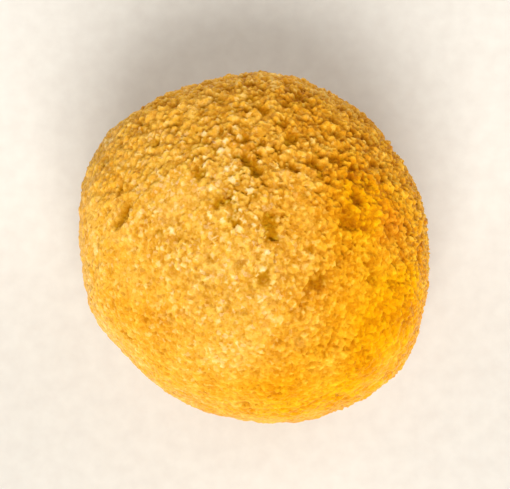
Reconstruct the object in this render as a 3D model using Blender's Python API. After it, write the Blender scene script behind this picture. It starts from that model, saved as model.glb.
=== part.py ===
"""A ladoo: one ball of sweet crumb, rolled between the palms and settled on a small flat.

Metres, +Z up. The origin is under the middle of the ball, on the surface that it rests on.
"""

import math
import random

import bmesh
import bpy
import numpy as np
from mathutils import Vector, kdtree, noise

MM = 0.001

# The ball as the palms leave it, before its flats and its foot
LENGTH = 39.0 * MM
BREADTH = 35.7 * MM
HEIGHT = 35.4 * MM
LONG_AXIS_AZIMUTH = -40  # degrees from +X, seen from above
MEAN_RADIUS = (LENGTH + BREADTH + HEIGHT) / 6
FOOT_WIDTH = 9.5 * MM

# Flats that the palms press: azimuth and elevation in degrees, and how far each is pushed in
PALM_FLATS = (
    (-6, 5, 0.45 * MM),
    (112, 10, 0.45 * MM),
    (180, 2, 0.15 * MM),
    (228, 8, 0.25 * MM),
    (258, 0, 0.40 * MM),
    (289, 2, 0.40 * MM),
    (15, -38, 0.25 * MM),
    (140, -34, 0.30 * MM),
    (300, -40, 0.25 * MM),
    (215, 58, 0.20 * MM),
    (330, 50, 0.12 * MM),
)
FLAT_EDGE = 2.6 * MM  # how far a flat's edge is rounded over

# Relief, coarse to fine: wavelength and height of each
SWELLS = ((15 * MM, 0.40 * MM), (6 * MM, 0.26 * MM))
CRUMB_SIZE = 2.3 * MM
CRUMB_HEIGHT = 0.42 * MM

# Marks on the upper side, in millimetres: both ends seen from above, the width and the depth
MARKS = (
    ((-1.3, 7.1), (0.1, 5.3), 1.5, 0.60),
    ((1.3, 0.3), (1.8, -1.7), 1.5, 0.55),
    ((3.5, 9.2), (4.1, 9.5), 1.5, 0.40),
    ((6.3, 6.8), (6.8, 6.2), 1.5, 0.45),
    ((8.4, 7.4), (8.9, 6.9), 1.5, 0.45),
    ((10.4, 3.2), (10.7, 2.6), 1.5, 0.50),
    ((9.2, 0.1), (10.1, -0.1), 1.6, 0.50),
    ((6.2, -6.4), (6.8, -6.0), 1.6, 0.45),
    ((0.8, -6.1), (1.0, -5.5), 1.4, 0.35),
    ((-14.4, 0.4), (-13.1, 1.9), 1.5, 0.40),
    ((-4.0, 1.8), (-2.9, 2.5), 1.4, 0.35),
    ((0.2, 12.9), (0.9, 12.5), 1.6, 0.40),
    ((-3.9, 13.4), (-3.4, 13.1), 1.5, 0.35),
    ((-13.9, -10.0), (-13.5, -10.6), 1.5, 0.45),
)

# Pits where crumbs have dropped out, closer together round the rough side
PIT_COUNT = 84
PIT_WIDTHS = (1.6 * MM, 2.5 * MM)
PIT_DEPTHS = (0.22 * MM, 0.48 * MM)
ROUGH_SIDE = (50, 50)  # azimuth and elevation in degrees
SEED = 11

# The mesh: each edge of an icosahedron is cut into this many
EDGE_CUTS = 22

GOLD = (0.80, 0.39, 0.05)
ROUGHNESS = 0.55


def direction_at(azimuth, elevation):
    """The unit direction at an azimuth and an elevation in degrees."""
    turn = math.radians(azimuth)
    rise = math.radians(elevation)
    return Vector((math.cos(turn) * math.cos(rise), math.sin(turn) * math.cos(rise), math.sin(rise)))


def soft_min(a, b, width):
    """The smaller of two lengths, rounded over where they are within a width of each other."""
    overlap = max(width - abs(a - b), 0) / width
    return min(a, b) - width * overlap * overlap / 4


def ball_axes():
    """The ball's three half-lengths, each with its own direction."""
    return (
        (direction_at(LONG_AXIS_AZIMUTH, 0), LENGTH / 2),
        (direction_at(LONG_AXIS_AZIMUTH + 90, 0), BREADTH / 2),
        (Vector((0, 0, 1)), HEIGHT / 2),
    )


def palm_planes(axes):
    """Each palm flat as the direction that it faces and its distance from the centre."""
    planes = []
    for azimuth, elevation, push in PALM_FLATS:
        facing = direction_at(azimuth, elevation)
        reach = math.sqrt(sum((facing.dot(axis) * half) ** 2 for axis, half in axes))
        planes.append((facing, reach - push))
    return planes


def rolled_radius(direction, axes, planes):
    """How far the rolled and flattened ball reaches from its centre in a direction."""
    radius = 1 / math.sqrt(sum((direction.dot(axis) / half) ** 2 for axis, half in axes))
    for facing, distance in planes:
        slope = direction.dot(facing)
        if slope > 0.5:
            radius = soft_min(radius, distance / slope, FLAT_EDGE)
    return radius


def relief(direction):
    """How far the surface stands proud of the rolled ball in a direction."""
    place = direction * MEAN_RADIUS
    proud = sum(height * noise.noise(place / size) for size, height in SWELLS)
    nearest, second = noise.voronoi(place / CRUMB_SIZE)[0][:2]
    return proud + CRUMB_HEIGHT * (min(second - nearest, 0.5) - 0.25)


def marks():
    """The marks on top, each as two ends on the unit sphere, a width and a depth."""
    found = []
    for start, end, width, depth in MARKS:
        ends = [Vector((x, y, 0)) * MM / MEAN_RADIUS for x, y in (start, end)]
        for point in ends:
            point.z = math.sqrt(1 - point.length_squared)
        found.append((*ends, width * MM, depth * MM))
    return found


def pits():
    """Seeded pits, each as two ends on the unit sphere, a width and a depth."""
    draw = random.Random(SEED)
    rough = direction_at(*ROUGH_SIDE)
    found = []
    while len(found) < PIT_COUNT:
        centre = Vector([draw.gauss(0, 1) for _ in range(3)]).normalized()
        width = draw.uniform(*PIT_WIDTHS)
        depth = draw.uniform(*PIT_DEPTHS)
        if draw.random() < 0.35 + 0.65 * max(centre.dot(rough), 0) ** 2:
            found.append((centre, centre, width, depth))
    return found


def dent(directions, hollows):
    """How deep the hollows are at each direction, taking the deepest where they overlap."""
    tree = kdtree.KDTree(len(directions))
    for index, direction in enumerate(directions):
        tree.insert(direction, index)
    tree.balance()
    depths = np.zeros(len(directions))
    for start, end, width, depth in hollows:
        run = end - start
        reach = width / 2 / MEAN_RADIUS
        for point, index, _ in tree.find_range((start + end) / 2, run.length / 2 + reach):
            along = (point - start).dot(run) / max(run.length_squared, 1e-12)
            away = (point - start - run * min(max(along, 0), 1)).length / reach
            depths[index] = max(depths[index], depth * max(1 - away**2, 0))
    return depths


def geodesic(cuts):
    """A bmesh of even triangles on the unit sphere."""
    mesh = bmesh.new()
    bmesh.ops.create_icosphere(mesh, subdivisions=1, radius=1)
    bmesh.ops.subdivide_edges(mesh, edges=mesh.edges[:], cuts=cuts, use_grid_fill=True)
    bmesh.ops.triangulate(mesh, faces=mesh.faces[:])
    for vertex in mesh.verts:
        vertex.co.normalize()
    return mesh


def settle(mesh):
    """Press the foot flat and put the origin under the middle of the ball."""
    foot_share = FOOT_WIDTH / (LENGTH + BREADTH) * 2
    floor = -HEIGHT / 2 * math.sqrt(1 - foot_share**2)
    for vertex in mesh.verts:
        if vertex.co.z < floor:
            vertex.co *= floor / vertex.co.z
    places = np.array([vertex.co for vertex in mesh.verts])
    middle = (places.min(axis=0) + places.max(axis=0)) / 2
    for vertex in mesh.verts:
        on_foot = vertex.co.z - floor < 1e-9
        vertex.co -= Vector((middle[0], middle[1], floor))
        if on_foot:
            vertex.co.z = 0


def crumb_material():
    """Golden crumb with a little fat on its surface."""
    material = bpy.data.materials.new("ladoo")
    material.use_nodes = True
    shader = material.node_tree.nodes["Principled BSDF"]
    shader.inputs["Base Color"].default_value = (*GOLD, 1)
    shader.inputs["Roughness"].default_value = ROUGHNESS
    shader.inputs["Metallic"].default_value = 0
    material.diffuse_color = (*GOLD, 1)
    return material


def make_ladoo(collection):
    """The whole ladoo: a ball, its palm flats, its crumb and its hollows."""
    mesh = geodesic(EDGE_CUTS)
    directions = [vertex.co.copy() for vertex in mesh.verts]
    axes = ball_axes()
    planes = palm_planes(axes)
    hollows = dent(directions, marks() + pits())
    for vertex, direction, hollow in zip(mesh.verts, directions, hollows):
        radius = rolled_radius(direction, axes, planes) + relief(direction) - hollow
        vertex.co = direction * radius
    settle(mesh)
    for face in mesh.faces:
        face.smooth = True
    data = bpy.data.meshes.new("ladoo")
    mesh.to_mesh(data)
    mesh.free()
    data.materials.append(crumb_material())
    ladoo = bpy.data.objects.new("ladoo", data)
    collection.objects.link(ladoo)


def main():
    for thing in list(bpy.data.objects):
        bpy.data.objects.remove(thing)
    collection = bpy.data.collections.new("Ladoo")
    bpy.context.scene.collection.children.link(collection)
    make_ladoo(collection)


main()
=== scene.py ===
"""The dressed ladoo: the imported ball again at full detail, with its grains and pits, on a pale floor."""

import math
import random

import bmesh
import bpy
import numpy as np
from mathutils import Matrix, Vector, kdtree, noise


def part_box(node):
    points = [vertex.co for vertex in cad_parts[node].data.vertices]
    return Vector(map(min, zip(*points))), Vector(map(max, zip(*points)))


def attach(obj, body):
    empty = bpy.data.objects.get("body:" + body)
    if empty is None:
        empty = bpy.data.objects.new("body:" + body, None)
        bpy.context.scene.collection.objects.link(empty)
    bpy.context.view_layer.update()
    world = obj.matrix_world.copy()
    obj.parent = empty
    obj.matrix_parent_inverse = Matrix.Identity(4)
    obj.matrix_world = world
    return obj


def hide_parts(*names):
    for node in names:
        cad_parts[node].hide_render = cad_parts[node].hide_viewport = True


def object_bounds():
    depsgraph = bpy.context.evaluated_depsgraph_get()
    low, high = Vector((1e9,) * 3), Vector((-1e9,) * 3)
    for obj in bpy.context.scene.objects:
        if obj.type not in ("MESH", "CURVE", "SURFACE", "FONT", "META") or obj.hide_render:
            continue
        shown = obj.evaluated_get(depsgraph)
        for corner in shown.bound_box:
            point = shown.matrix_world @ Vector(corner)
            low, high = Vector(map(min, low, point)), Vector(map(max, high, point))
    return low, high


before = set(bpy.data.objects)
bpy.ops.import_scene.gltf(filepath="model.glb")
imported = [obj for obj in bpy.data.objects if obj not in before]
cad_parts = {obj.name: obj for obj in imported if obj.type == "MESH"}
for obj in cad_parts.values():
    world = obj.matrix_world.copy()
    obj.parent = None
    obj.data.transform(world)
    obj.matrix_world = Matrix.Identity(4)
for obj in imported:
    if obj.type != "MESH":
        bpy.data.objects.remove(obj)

MM = 0.001
CAD_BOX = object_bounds()

# The ball's form, as in the solid
LENGTH = 39.0 * MM
BREADTH = 35.7 * MM
HEIGHT = 35.4 * MM
LONG_AXIS_AZIMUTH = -40
MEAN_RADIUS = (LENGTH + BREADTH + HEIGHT) / 6
FOOT_WIDTH = 9.5 * MM
PALM_FLATS = (
    (-6, 5, 0.45 * MM),
    (112, 10, 0.45 * MM),
    (180, 2, 0.15 * MM),
    (228, 8, 0.25 * MM),
    (258, 0, 0.40 * MM),
    (289, 2, 0.40 * MM),
    (15, -38, 0.25 * MM),
    (140, -34, 0.30 * MM),
    (300, -40, 0.25 * MM),
    (215, 58, 0.20 * MM),
    (330, 50, 0.12 * MM),
)
FLAT_EDGE = 2.6 * MM
FLAT_FACING = 0.5  # a flat shapes the ball only where the two face alike, to this cosine
SWELLS = ((15 * MM, 0.40 * MM), (6 * MM, 0.26 * MM))  # wavelength and height of each
CRUMB_SIZE = 2.3 * MM
CRUMB_HEIGHT = 0.42 * MM
CRUMB_FLANK = 0.5  # how wide a lump's sloping side is, in lump sizes

# Marks on the upper side, in millimetres: both ends seen from above, the width and the depth
MARKS = (
    ((-1.3, 7.1), (0.1, 5.3), 1.5, 0.60),
    ((1.3, 0.3), (1.8, -1.7), 1.5, 0.55),
    ((3.5, 9.2), (4.1, 9.5), 1.5, 0.40),
    ((6.3, 6.8), (6.8, 6.2), 1.5, 0.45),
    ((8.4, 7.4), (8.9, 6.9), 1.5, 0.45),
    ((10.4, 3.2), (10.7, 2.6), 1.5, 0.50),
    ((9.2, 0.1), (10.1, -0.1), 1.6, 0.50),
    ((6.2, -6.4), (6.8, -6.0), 1.6, 0.45),
    ((0.8, -6.1), (1.0, -5.5), 1.4, 0.35),
    ((-14.4, 0.4), (-13.1, 1.9), 1.5, 0.40),
    ((-4.0, 1.8), (-2.9, 2.5), 1.4, 0.35),
    ((0.2, 12.9), (0.9, 12.5), 1.6, 0.40),
    ((-3.9, 13.4), (-3.4, 13.1), 1.5, 0.35),
    ((-13.9, -10.0), (-13.5, -10.6), 1.5, 0.45),
)

# Pits where crumbs have dropped out, placed as in the solid, with finer pores between them
PIT_COUNT = 84
PIT_WIDTHS = (1.6 * MM, 2.5 * MM)
PIT_DEPTHS = (0.22 * MM, 0.48 * MM)
ROUGH_SIDE = (50, 50)
SEED = 11
PIT_NARROWING = 0.80  # the share of their widths kept here, as the solid's triangles widen its pits
PIT_FADING = (0.5, 1.1)  # the share of its depth that a pit or pore keeps, on smooth crumb and on rough
LEAST_PITTED = 0.35  # how many pits the smooth side keeps, as a share of the rough side's
PORE_COUNT = 200
PORE_WIDTHS = (0.9 * MM, 1.9 * MM)
PORE_DEPTHS = (0.18 * MM, 0.50 * MM)
LEAST_PORED = 0.06

# A skin of packed grains over that form, pressed level where a palm has smoothed it
EDGE_CUTS = 97  # each edge of an icosahedron is cut into this many
PACKED_COUNT = 17000
PACKED_SCATTER = 0.55  # how far a grain strays from even spacing, in spacings
PACKED_WIDTHS = (0.42 * MM, 1.05 * MM)
PACKED_FINENESS = 1.8  # above 1, more of the grains are small
PACKED_HEIGHTS = (-0.10 * MM, 0.10 * MM)
PACKED_DROP = 0.40  # how far a grain's edge lies below its top, in its own widths
PACKED_ROUNDING = 3  # the power by which its top falls away to its edge
PACKED_TILT = 0.28  # the slope of a grain's top
PACKED_NARROWEST = 0.55  # the least breadth of a grain, in its own lengths
GAP_FLOOR = -0.22 * MM  # the level between the grains
GAP_TONE = 0.3
GRAIN_KINDS = (  # up to this draw from 0 to 1, the tone lies in this range: dark, middling and pale
    (0.10, (0.0, 0.2)),
    (0.88, (0.35, 0.7)),
    (1.00, (0.85, 1.0)),
)
MIDDLE_TONE = 0.5
RANDOM_PART = 0.6  # the spread of each part of a random vector, for a length of about 1
CRUMBLY_SIDE = (48, 20)  # azimuth and elevation of the roughest crumb
CRUMBLY_MIX = (0.32, 0.65, 0.6)  # how crumbly the ball is, and how far its sides and its patches change that
CRUMBLY_PATCH = 7 * MM  # about how wide a rough or smooth patch is
CRUMBLY_DRIFT = (-1.4, 5.5, 0.0)  # places the patches
PRESSED_LEVELS = (-0.04 * MM, 0.17 * MM)  # where the palms stop the grains, on smooth crumb and on rough
PRESSED_EDGE = 0.08 * MM
BOLDNESS = (0.70, 1.30)  # how strongly the grains stand out, on smooth crumb and on rough
CREVICE_SIZE = 1.9 * MM  # how far apart the rough crumb's cracks run
CREVICE_BEND = 0.8 * MM  # how long a crack's bends are
CREVICE_WANDER = 0.3  # how far they reach, in crack spacings
CREVICE_SHARPNESS = 0.10
CREVICE_DEPTH = 0.26 * MM
CREVICE_CRUMB = (0.1875, 0.8125)  # how crumbly the crumb is where cracks start and where they are deepest
GRAIN_RAGGEDNESS = 0.21 * MM
RAGGED_SIZES = ((0.9 * MM, 1.0), (0.4 * MM, 0.5))  # wavelength and strength of the ragged edges
HOLLOW_SHADE_DEPTHS = (0.108 * MM, 0.408 * MM)  # painted shade in the hollows: the depth where it starts to darken the colour and where it is darkest

# Where the crumb's colour changes, partly its own colour and partly painted light: places on the upper side
# in millimetres, seen from above
TOAST_AND_BOUNCE_SIDE = (-25, 24)  # azimuth and elevation of the deepest gold, partly toasted crumb and partly painted gold light bounced from neighbouring ladoos
TOAST_AND_BOUNCE_MIX = (0.55, 0.42, 0.3)  # how deep the gold is, toasted crumb and painted bounce light together, and how far its sides and its patches change that
TOASTED_PATCH = 6 * MM
CREAM_AND_HIGHLIGHT_STREAK = ((-4.2, 2.0), (-2.2, -7.0))  # the ends of the palest crumb, partly creamy crumb and partly a painted pale highlight
CREAM_AND_HIGHLIGHT_REACH = 9 * MM
CREAM_AND_HIGHLIGHT_CORE = 0.3  # the share of that reach where the cream and its painted highlight are full
CREAM_AND_HIGHLIGHT_STRENGTH = 0.9
BROWNED_SPOTS = (((13.9, 1.2), 5.0, 0.7), ((-1.1, 7.4), 4.4, 0.3))  # place, width and strength of each
BROWNED_CORE = 0.2  # the share of a spot's half-width where it is full
BROWNED_DRIFT = 0.5  # how uneven a spot's edge is
BROWNED_PATCH = 1.5 * MM

# The crumb's colours: each ramp has its places from 0 to 1 and its colours
GRAIN_TONES = ((0.0, "a04c00"), (0.2, "d88608"), (0.6, "ecb030"), (1.0, "ffe08c"))
PATCH_TONES = ((0.34, "c47a08"), (0.5, "ebb030"), (0.66, "ffd46c"))
GRIT_TONES = ((0.0, "8f4500"), (0.14, "cf8008"), (0.5, "e9a728"), (0.86, "f2b640"), (1.0, "ffe094"))
DUST_TONES = ((0.0, "a85a00"), (0.4, "e09e20"), (1.0, "faca68"))
PATCH_SHARES = (0.36, 0.14)  # how much of the patches' tone shows: what the deepest gold adds, and the least
GRIT_SHARE = 0.34
DUST_SHARE = 0.18
CREAM_AND_HIGHLIGHT_TINT = (1.0, 1.22, 2.3, 1.0)  # the tints multiply the colour: the cream tint also paints a pale highlight, the toasted tint also paints gold bounce light
TOAST_AND_BOUNCE_TINT = (1.0, 0.935, 0.03, 1.0)
# painted shade: the colour in the hollows is multiplied by this tint
HOLLOW_SHADE_TINT = (0.62, 0.48, 0.05, 1.0)
BROWNED = "e08418"
BROWNED_SHARE = 0.6
BLOOM_EDGE = (0.55, 0.95)  # where the bloom starts and is full, from 0 facing the eye to 1 at the edge
BLOOM = 0.3

# The finest crumb, which is colour and bump alone: cells and noise to the metre
PATCH_SCALE = 300.0
GRIT_SCALE = 2600.0
DUST_SCALE = 5200.0
SWAY_SCALE = 1800.0
SWAY = 0.4 * MM  # how far the cells' edges wander
GRIT_BUMP = {"Strength": 0.7, "Distance": 0.10 * MM}
DUST_BUMP = {"Strength": 0.5, "Distance": 0.05 * MM}
PATCH_RANGE = (0.3, 0.7)  # the patches' noise from low to high, which sets how rough the surface is
SURFACE_ROUGHNESS = (0.45, 0.7)

# The picture
CAMERA_AZIMUTH = -90
CAMERA_ELEVATION = 80
LENS = 280
CLIP = (0.01, 10.0)
FILL = 0.72  # the share of the frame's height that the ladoo takes
FRAME_SHAPE = 489 / 510
FLOOR_SIZE = 8.0
FLOOR_TONES = ((0.3, "d6d3ce"), (0.7, "dcdad5"))
TOOTH_SCALE = 600.0
TOOTH_BUMP = {"Strength": 0.1, "Distance": 0.05 * MM}
LAMPS = (  # name, azimuth, elevation, distance, size and watts
    ("key", 270, 55, 0.6, 0.30, 3.9),
    ("fill", 42, 22, 0.7, 0.50, 3.0),
    ("back", 146, 24, 0.7, 0.50, 2.2),
)
LAMP_COLOUR = (1.0, 0.97, 0.92)
SKY_COLOUR = (1.0, 0.94, 0.85, 1.0)
SKY_STRENGTH = 0.28


def direction_at(azimuth, elevation):
    """The unit direction at an azimuth and an elevation in degrees."""
    turn = math.radians(azimuth)
    rise = math.radians(elevation)
    return Vector((math.cos(turn) * math.cos(rise), math.sin(turn) * math.cos(rise), math.sin(rise)))


def clamped(value):
    return min(max(value, 0.0), 1.0)


def between(ends, share):
    """The value a share of the way from the first of two to the second."""
    return ends[0] + (ends[1] - ends[0]) * share


def share_of(ends, value):
    """How far a value is on its way from the first of two to the second, from 0 to 1."""
    return clamped((value - ends[0]) / (ends[1] - ends[0]))


def soft_min(a, b, width):
    """The smaller of two lengths, rounded over where they are within a width of each other."""
    overlap = max(width - abs(a - b), 0) / width
    return min(a, b) - width * overlap * overlap / 4


def ball_axes():
    """The ball's three half-lengths, each with its own direction."""
    return (
        (direction_at(LONG_AXIS_AZIMUTH, 0), LENGTH / 2),
        (direction_at(LONG_AXIS_AZIMUTH + 90, 0), BREADTH / 2),
        (Vector((0, 0, 1)), HEIGHT / 2),
    )


def palm_planes(axes):
    """Each palm flat as the direction that it faces and its distance from the centre."""
    planes = []
    for azimuth, elevation, push in PALM_FLATS:
        facing = direction_at(azimuth, elevation)
        reach = math.sqrt(sum((facing.dot(axis) * half) ** 2 for axis, half in axes))
        planes.append((facing, reach - push))
    return planes


def rolled_radius(direction, axes, planes):
    """How far the rolled and flattened ball reaches from its centre in a direction."""
    radius = 1 / math.sqrt(sum((direction.dot(axis) / half) ** 2 for axis, half in axes))
    for facing, distance in planes:
        slope = direction.dot(facing)
        if slope > FLAT_FACING:
            radius = soft_min(radius, distance / slope, FLAT_EDGE)
    return radius


def coarse_relief(place):
    """The solid's own relief: slow swells and lumps of crumb."""
    proud = sum(height * noise.noise(place / size) for size, height in SWELLS)
    nearest, second = noise.voronoi(place / CRUMB_SIZE)[0][:2]
    return proud + CRUMB_HEIGHT * (min(second - nearest, CRUMB_FLANK) - CRUMB_FLANK / 2)


def crumbliness(direction):
    """From 0 where a palm has smoothed the crumb to 1 where it is rough."""
    level, by_side, by_patch = CRUMBLY_MIX
    lean = direction.dot(direction_at(*CRUMBLY_SIDE))
    drift = noise.noise(direction * MEAN_RADIUS / CRUMBLY_PATCH + Vector(CRUMBLY_DRIFT))
    return clamped(level + by_side * lean + by_patch * drift)


def seen_from_above(place):
    """The unit direction of a place on the upper side, given in millimetres from the middle."""
    direction = Vector((*place, 0)) * MM / MEAN_RADIUS
    direction.z = math.sqrt(1 - direction.length_squared)
    return direction


def distance_from(point, start, end):
    """How far a point is from the straight run between two others."""
    run = end - start
    along = (point - start).dot(run) / max(run.length_squared, 1e-12)
    return (point - start - run * clamped(along)).length


def crevice(place, crumbly):
    """How deep the winding cracks of the rough crumb are at a place."""
    bend = CREVICE_WANDER * CREVICE_SIZE * noise.noise_vector(place / CREVICE_BEND)
    ridge = 1 - abs(noise.noise((place + bend) / CREVICE_SIZE)) / CREVICE_SHARPNESS
    return CREVICE_DEPTH * clamped(ridge) * share_of(CREVICE_CRUMB, crumbly)


def marks():
    """The marks on top, each as two ends on the unit sphere, a width and a depth."""
    return [
        (seen_from_above(start), seen_from_above(end), width * MM, depth * MM)
        for start, end, width, depth in MARKS
    ]


def scattered(count, widths, depths, side, least, seed):
    """Seeded round hollows, each as two ends on the unit sphere, a width and a depth."""
    draw = random.Random(seed)
    rough = direction_at(*side)
    found = []
    while len(found) < count:
        centre = Vector([draw.gauss(0, 1) for _ in range(3)]).normalized()
        width = draw.uniform(*widths)
        depth = draw.uniform(*depths)
        if draw.random() < least + (1 - least) * max(centre.dot(rough), 0) ** 2:
            fading = between(PIT_FADING, crumbliness(centre))
            found.append((centre, centre, width * PIT_NARROWING, depth * fading))
    return found


def ragged(direction):
    """A direction moved a little at random, so that what is placed there has an uneven edge."""
    place = direction * MEAN_RADIUS
    shift = Vector()
    for size, strength in RAGGED_SIZES:
        shift += strength * noise.noise_vector(place / size)
    return direction + shift * GRAIN_RAGGEDNESS / MEAN_RADIUS


def tree_of(directions):
    """A tree that finds directions near a point of the unit sphere."""
    tree = kdtree.KDTree(len(directions))
    for index, direction in enumerate(directions):
        tree.insert(direction, index)
    tree.balance()
    return tree


def dent(tree, count, hollows):
    """How deep the hollows are at each direction of a tree, taking the deepest where they overlap."""
    depths = np.zeros(count)
    for start, end, width, depth in hollows:
        reach = width / 2 / MEAN_RADIUS
        for point, index, _ in tree.find_range((start + end) / 2, (end - start).length / 2 + reach):
            away = distance_from(point, start, end) / reach
            depths[index] = max(depths[index], depth * max(1 - away**2, 0))
    return depths


def random_vector(draw):
    """A vector of about unit length in any direction."""
    return Vector([draw.gauss(0, RANDOM_PART) for _ in range(3)])


def packed_grains():
    """Directions spread evenly over the ball, each moved a little at random."""
    draw = random.Random(SEED + 1)
    stray = PACKED_SCATTER * math.sqrt(4 * math.pi / PACKED_COUNT)
    turn = math.pi * (3 - math.sqrt(5))
    found = []
    for index in range(PACKED_COUNT):
        height = 1 - (2 * index + 1) / PACKED_COUNT
        across = math.sqrt(1 - height * height)
        point = Vector((math.cos(turn * index) * across, math.sin(turn * index) * across, height))
        found.append((point + Vector([draw.gauss(0, stray) for _ in range(3)])).normalized())
    return found


def grain_tone(draw):
    """A grain's tone: most are near the middle, a few dark or pale."""
    kind = draw.random()
    tones = next(tones for most, tones in GRAIN_KINDS if kind <= most)
    return draw.uniform(*tones)


def grain_skin(directions, hollows):
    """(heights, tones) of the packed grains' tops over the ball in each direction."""
    draw = random.Random(SEED + 2)
    tree = tree_of([ragged(direction) for direction in directions])
    heights = GAP_FLOOR - dent(tree, len(directions), hollows)
    tones = np.full(len(directions), GAP_TONE)
    centres = packed_grains()
    sunk = dent(tree_of(centres), len(centres), hollows)
    for centre, drop in zip(centres, sunk):
        width = between(PACKED_WIDTHS, draw.random() ** PACKED_FINENESS)
        top = draw.uniform(*PACKED_HEIGHTS) - drop
        tone = grain_tone(draw)
        tilt = random_vector(draw) * PACKED_TILT * MEAN_RADIUS
        lengthways = random_vector(draw).normalized()
        squeeze = 1 / draw.uniform(PACKED_NARROWEST, 1) ** 2 - 1
        reach = width / 2 / MEAN_RADIUS
        for point, index, _ in tree.find_range(centre, reach):
            offset = point - centre
            sideways = offset.length_squared - offset.dot(lengthways) ** 2
            away = math.sqrt(offset.length_squared + squeeze * sideways) / reach
            height = top + offset.dot(tilt) - PACKED_DROP * width * away**PACKED_ROUNDING
            if height > heights[index]:
                heights[index] = height
                tones[index] = tone
    return heights, tones


def toast_and_light_at(direction):
    """From 0 where the crumb is creamy under a painted pale highlight to 1 where it is the deepest gold
    under painted bounce light.
    """
    level, by_side, by_patch = TOAST_AND_BOUNCE_MIX
    # partly toasted crumb, partly painted gold light bounced onto this side from neighbouring ladoos
    lean = direction.dot(direction_at(*TOAST_AND_BOUNCE_SIDE))
    from_streak = distance_from(direction, *(seen_from_above(end) for end in CREAM_AND_HIGHLIGHT_STREAK))
    # partly creamy crumb, partly a painted pale highlight along the streak
    cream_and_highlight = clamped(1 + CREAM_AND_HIGHLIGHT_CORE - from_streak * MEAN_RADIUS / CREAM_AND_HIGHLIGHT_REACH)
    drift = noise.noise(direction * MEAN_RADIUS / TOASTED_PATCH)
    return clamped(level + by_side * lean - CREAM_AND_HIGHLIGHT_STRENGTH * cream_and_highlight + by_patch * drift)


def browning(direction):
    """How far the crumb is browned, up to 1."""
    drift = noise.noise(direction * MEAN_RADIUS / BROWNED_PATCH)
    most = 0
    for place, width, strength in BROWNED_SPOTS:
        away = (direction - seen_from_above(place)).length * MEAN_RADIUS / (width * MM / 2)
        most = max(most, strength * clamped(1 + BROWNED_CORE - away + BROWNED_DRIFT * drift))
    return most


def geodesic(cuts):
    """A bmesh of even triangles on the unit sphere."""
    mesh = bmesh.new()
    bmesh.ops.create_icosphere(mesh, subdivisions=1, radius=1)
    bmesh.ops.subdivide_edges(mesh, edges=mesh.edges[:], cuts=cuts, use_grid_fill=True)
    bmesh.ops.triangulate(mesh, faces=mesh.faces[:])
    for vertex in mesh.verts:
        vertex.co.normalize()
    return mesh


def shaped(directions):
    """(places, what the crumb's colours read) of the surface for each direction from the ball's centre."""
    axes = ball_axes()
    planes = palm_planes(axes)
    pits = marks() + scattered(PIT_COUNT, PIT_WIDTHS, PIT_DEPTHS, ROUGH_SIDE, LEAST_PITTED, SEED)
    pores = scattered(PORE_COUNT, PORE_WIDTHS, PORE_DEPTHS, CRUMBLY_SIDE, LEAST_PORED, SEED + 3)
    heights, tones = grain_skin(directions, pits + pores)
    places = np.zeros((len(directions), 3))
    hollow_shading = np.zeros(len(directions))
    toast_and_light = np.zeros(len(directions))
    brown = np.zeros(len(directions))
    for index, direction in enumerate(directions):
        place = direction * MEAN_RADIUS
        crumbly = crumbliness(direction)
        level = between(PRESSED_LEVELS, crumbly)
        bold = between(BOLDNESS, crumbly)
        height = soft_min(heights[index] * bold, level, PRESSED_EDGE) - crevice(place, crumbly)
        tones[index] = MIDDLE_TONE + (tones[index] - MIDDLE_TONE) * bold
        radius = rolled_radius(direction, axes, planes) + coarse_relief(place) + height
        places[index] = direction * radius
        # painted shade: the further a place lies below the grains' tops, the darker its colour is painted
        hollow_shading[index] = share_of(HOLLOW_SHADE_DEPTHS, -height)
        toast_and_light[index] = toast_and_light_at(direction)
        brown[index] = browning(direction)
    return places, {"tone": tones, "hollow_shade": hollow_shading, "toast_and_light": toast_and_light, "brown": brown}


def settle(places):
    """Presses the foot flat and moves the ball onto the solid."""
    foot_share = FOOT_WIDTH / (LENGTH + BREADTH) * 2
    floor = -HEIGHT / 2 * math.sqrt(1 - foot_share**2)
    below = places[:, 2] < floor
    places[below] *= (floor / places[below, 2])[:, None]
    low, high = (np.array(corner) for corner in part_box("ladoo"))
    middle = (places.min(axis=0) + places.max(axis=0)) / 2 - (low + high) / 2
    places -= (middle[0], middle[1], floor)
    places[below, 2] = 0


def make_ladoo():
    """The ladoo's mesh, with what its crumb reads stored on its vertices."""
    mesh = geodesic(EDGE_CUTS)
    places, readings = shaped([vertex.co.copy() for vertex in mesh.verts])
    settle(places)
    data = bpy.data.meshes.new("ladoo_crumb")
    mesh.to_mesh(data)
    mesh.free()
    data.vertices.foreach_set("co", places.ravel())
    for name, values in readings.items():
        data.attributes.new(name, "FLOAT", "POINT").data.foreach_set("value", values)
    data.shade_smooth()
    data.update()
    ladoo = bpy.data.objects.new("ladoo_crumb", data)
    bpy.context.scene.collection.objects.link(ladoo)
    return ladoo


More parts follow.
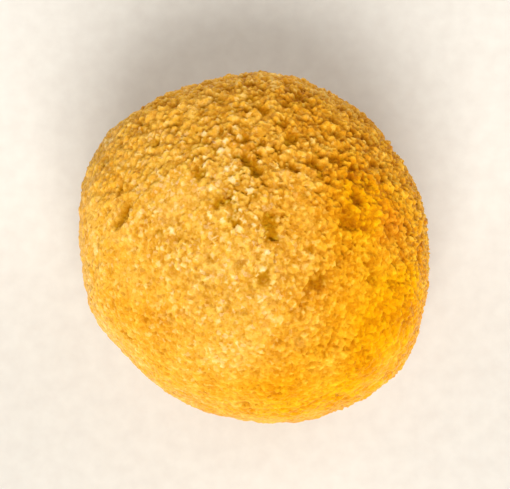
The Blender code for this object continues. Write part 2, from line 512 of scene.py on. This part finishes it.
class Nodes:
    """Short ways to add and join a material's nodes."""

    def __init__(self, name):
        self.material = bpy.data.materials.new(name)
        self.material.use_nodes = True
        self.tree = self.material.node_tree
        self.shader = self.tree.nodes["Principled BSDF"]

    def add(self, kind, values=(), **settings):
        """A node of a kind, with settings on the node and values on its inputs."""
        node = self.tree.nodes.new(f"ShaderNode{kind}")
        for name, value in settings.items():
            setattr(node, name, value)
        for name, value in dict(values).items():
            self.give(node.inputs[name], value)
        return node

    def give(self, socket, value):
        """Joins a socket to another, or sets it."""
        if isinstance(value, bpy.types.NodeSocket):
            self.tree.links.new(value, socket)
        else:
            socket.default_value = value

    def math(self, operation, *values):
        return self.add("Math", dict(enumerate(values)), operation=operation).outputs[0]

    def mix(self, share, a, b, blend="MIX"):
        """Two colours mixed by a share."""
        node = self.add("Mix", data_type="RGBA", blend_type=blend)
        for place, value in ((0, share), (6, a), (7, b)):
            self.give(node.inputs[place], value)
        return node.outputs[2]

    def ramp(self, value, stops):
        """A colour ramp over a value: stops are (place, colour's code)."""
        node = self.add("ValToRGB", {0: value})
        elements = node.color_ramp.elements
        while len(elements) < len(stops):
            elements.new(0.5)
        for element, (place, code) in zip(elements, stops):
            element.position = place
            element.color = srgb(code)
        return node.outputs[0]

    def spread(self, value, ends, results):
        """A value that goes from the first result to the second as another goes between its ends."""
        limits = {"From Min": ends[0], "From Max": ends[1], "To Min": results[0], "To Max": results[1]}
        return self.add("MapRange", {"Value": value, **limits}).outputs[0]

    def noise(self, place, scale, detail):
        return self.add("TexNoise", {"Vector": place, "Scale": scale, "Detail": detail})

    def cells(self, place, scale):
        return self.add("TexVoronoi", {"Vector": place, "Scale": scale})

    def finish(self, values):
        """Sets or joins the shader's own sockets."""
        for name, value in values.items():
            self.give(self.shader.inputs[name], value)

    def stored(self, name):
        """What the mesh's vertices read under a name."""
        return self.add("Attribute", attribute_name=name).outputs["Fac"]


def srgb(code):
    """A linear colour from its hexadecimal code."""
    parts = [int(code[i : i + 2], 16) / 255 for i in (0, 2, 4)]
    linear = [p / 12.92 if p <= 0.04045 else ((p + 0.055) / 1.055) ** 2.4 for p in parts]
    return (*linear, 1.0)


def crumb_colour(n, blotch, grit, dust):
    """Grains of several tones, creamy to toasted with a painted highlight and painted bounce light, browned
    in spots, and darkened in the hollows with painted shade.
    """
    toast_and_light = n.stored("toast_and_light")
    grit_tone = n.add("SeparateColor", {0: grit.outputs["Color"]}).outputs[0]
    dust_tone = n.add("SeparateColor", {0: dust.outputs["Color"]}).outputs[1]
    patchy = n.math("MULTIPLY_ADD", toast_and_light, *PATCH_SHARES)
    colour = n.mix(patchy, n.ramp(n.stored("tone"), GRAIN_TONES), n.ramp(blotch, PATCH_TONES))
    colour = n.mix(GRIT_SHARE, colour, n.ramp(grit_tone, GRIT_TONES))
    colour = n.mix(DUST_SHARE, colour, n.ramp(dust_tone, DUST_TONES))
    # partly painted light: the cream tint paints a pale highlight, the deep gold tint paints warm bounce
    # light
    colour = n.mix(1.0, colour, n.mix(toast_and_light, CREAM_AND_HIGHLIGHT_TINT, TOAST_AND_BOUNCE_TINT), "MULTIPLY")
    colour = n.mix(n.math("MULTIPLY", n.stored("brown"), BROWNED_SHARE), colour, srgb(BROWNED))
    # painted shade: the colour darkens in the hollows
    return n.mix(n.stored("hollow_shade"), colour, HOLLOW_SHADE_TINT, "MULTIPLY")


def crumb_bloom(n, place):
    """How far fine crumb on the surface catches the light towards the ball's edge."""
    middle = (0.0, 0.0, HEIGHT / 2)
    outward = n.add("VectorMath", {0: place, 1: middle}, operation="SUBTRACT").outputs[0]
    outward = n.add("VectorMath", {0: outward}, operation="NORMALIZE").outputs[0]
    edge = n.add("LayerWeight", {"Normal": outward}).outputs["Facing"]
    return n.spread(edge, BLOOM_EDGE, (0.0, BLOOM))


def crumb_bump(n, grit, dust):
    """The relief of the finest crumb."""
    gritty = {**GRIT_BUMP, "Height": grit.outputs["Distance"]}
    dusty = {**DUST_BUMP, "Height": dust.outputs["Distance"]}
    dusty["Normal"] = n.add("Bump", gritty, invert=True).outputs[0]
    return n.add("Bump", dusty, invert=True).outputs[0]


def crumb_material():
    """Golden crumb, nearly matt, with a little light going into it."""
    n = Nodes("ladoo_crumb")
    place = n.add("TexCoord").outputs["Object"]
    blotch = n.noise(place, PATCH_SCALE, detail=4.0).outputs["Fac"]
    sway = n.noise(place, SWAY_SCALE, detail=2.0).outputs["Color"]
    shift = {0: sway, 1: (SWAY, SWAY, SWAY), 2: place}
    bent = n.add("VectorMath", shift, operation="MULTIPLY_ADD").outputs[0]
    grit = n.cells(bent, GRIT_SCALE)
    dust = n.cells(bent, DUST_SCALE)
    n.finish({
        "Base Color": crumb_colour(n, blotch, grit, dust),
        "Roughness": n.spread(blotch, PATCH_RANGE, SURFACE_ROUGHNESS),
        "Diffuse Roughness": 0.8,
        "Subsurface Weight": 0.08,
        "Subsurface Radius": (1.0, 0.45, 0.12),
        "Subsurface Scale": 0.6 * MM,
        "Specular IOR Level": 0.05,
        "Specular Tint": (1.0, 0.80, 0.45, 1.0),
        "Sheen Weight": crumb_bloom(n, place),
        "Sheen Roughness": 0.4,
        "Sheen Tint": (1.0, 0.75, 0.55, 1.0),
        "Normal": crumb_bump(n, grit, dust),
    })
    return n.material


def floor_material():
    """Pale matt board with a very faint tooth."""
    n = Nodes("floor")
    place = n.add("TexCoord").outputs["Object"]
    tooth = n.noise(place, TOOTH_SCALE, detail=3.0).outputs["Fac"]
    bump = n.add("Bump", {**TOOTH_BUMP, "Height": tooth}).outputs[0]
    n.finish({
        "Base Color": n.ramp(tooth, FLOOR_TONES),
        "Roughness": 0.8,
        "Specular IOR Level": 0.2,
        "Normal": bump,
    })
    return n.material


def make_floor():
    """A wide floor under the ladoo."""
    bpy.ops.mesh.primitive_plane_add(size=FLOOR_SIZE)
    floor = bpy.context.object
    floor.name = "floor"
    floor.data.materials.append(floor_material())


def add_lamp(name, azimuth, elevation, distance, size, watts):
    """A soft square lamp that faces the ladoo."""
    lamp = bpy.data.lights.new(name, "AREA")
    lamp.size = size
    lamp.energy = watts
    lamp.color = LAMP_COLOUR
    holder = bpy.data.objects.new(name, lamp)
    towards = direction_at(azimuth, elevation)
    holder.location = towards * distance
    holder.rotation_euler = towards.to_track_quat("Z", "Y").to_euler()
    bpy.context.scene.collection.objects.link(holder)


def make_light():
    """Soft daylight: a key from the front, fills from the right and the back left, and an even sky."""
    for lamp in LAMPS:
        add_lamp(*lamp)
    world = bpy.data.worlds.new("sky")
    world.use_nodes = True
    sky = world.node_tree.nodes["Background"]
    sky.inputs["Color"].default_value = SKY_COLOUR
    sky.inputs["Strength"].default_value = SKY_STRENGTH
    bpy.context.scene.world = world


def make_camera():
    """A long lens nearly overhead, aimed at the middle of the ladoo."""
    camera = bpy.data.cameras.new("camera")
    camera.lens = LENS
    camera.clip_start, camera.clip_end = CLIP
    holder = bpy.data.objects.new("camera", camera)
    low, high = CAD_BOX
    towards = direction_at(CAMERA_AZIMUTH, CAMERA_ELEVATION)
    seen_height = (high.y - low.y) / FILL
    half_angle = math.atan(camera.sensor_width / 2 / LENS * FRAME_SHAPE)
    distance = seen_height / 2 / math.tan(half_angle)
    holder.location = (low + high) / 2 + towards * distance
    holder.rotation_euler = towards.to_track_quat("Z", "Y").to_euler()
    bpy.context.scene.collection.objects.link(holder)
    bpy.context.scene.camera = holder


def main():
    noise.seed_set(SEED)
    ladoo = make_ladoo()
    ladoo.data.materials.append(crumb_material())
    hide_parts("ladoo")
    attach(ladoo, "root")
    make_floor()
    make_light()
    make_camera()
    bpy.context.scene.view_settings.view_transform = "Standard"


main()
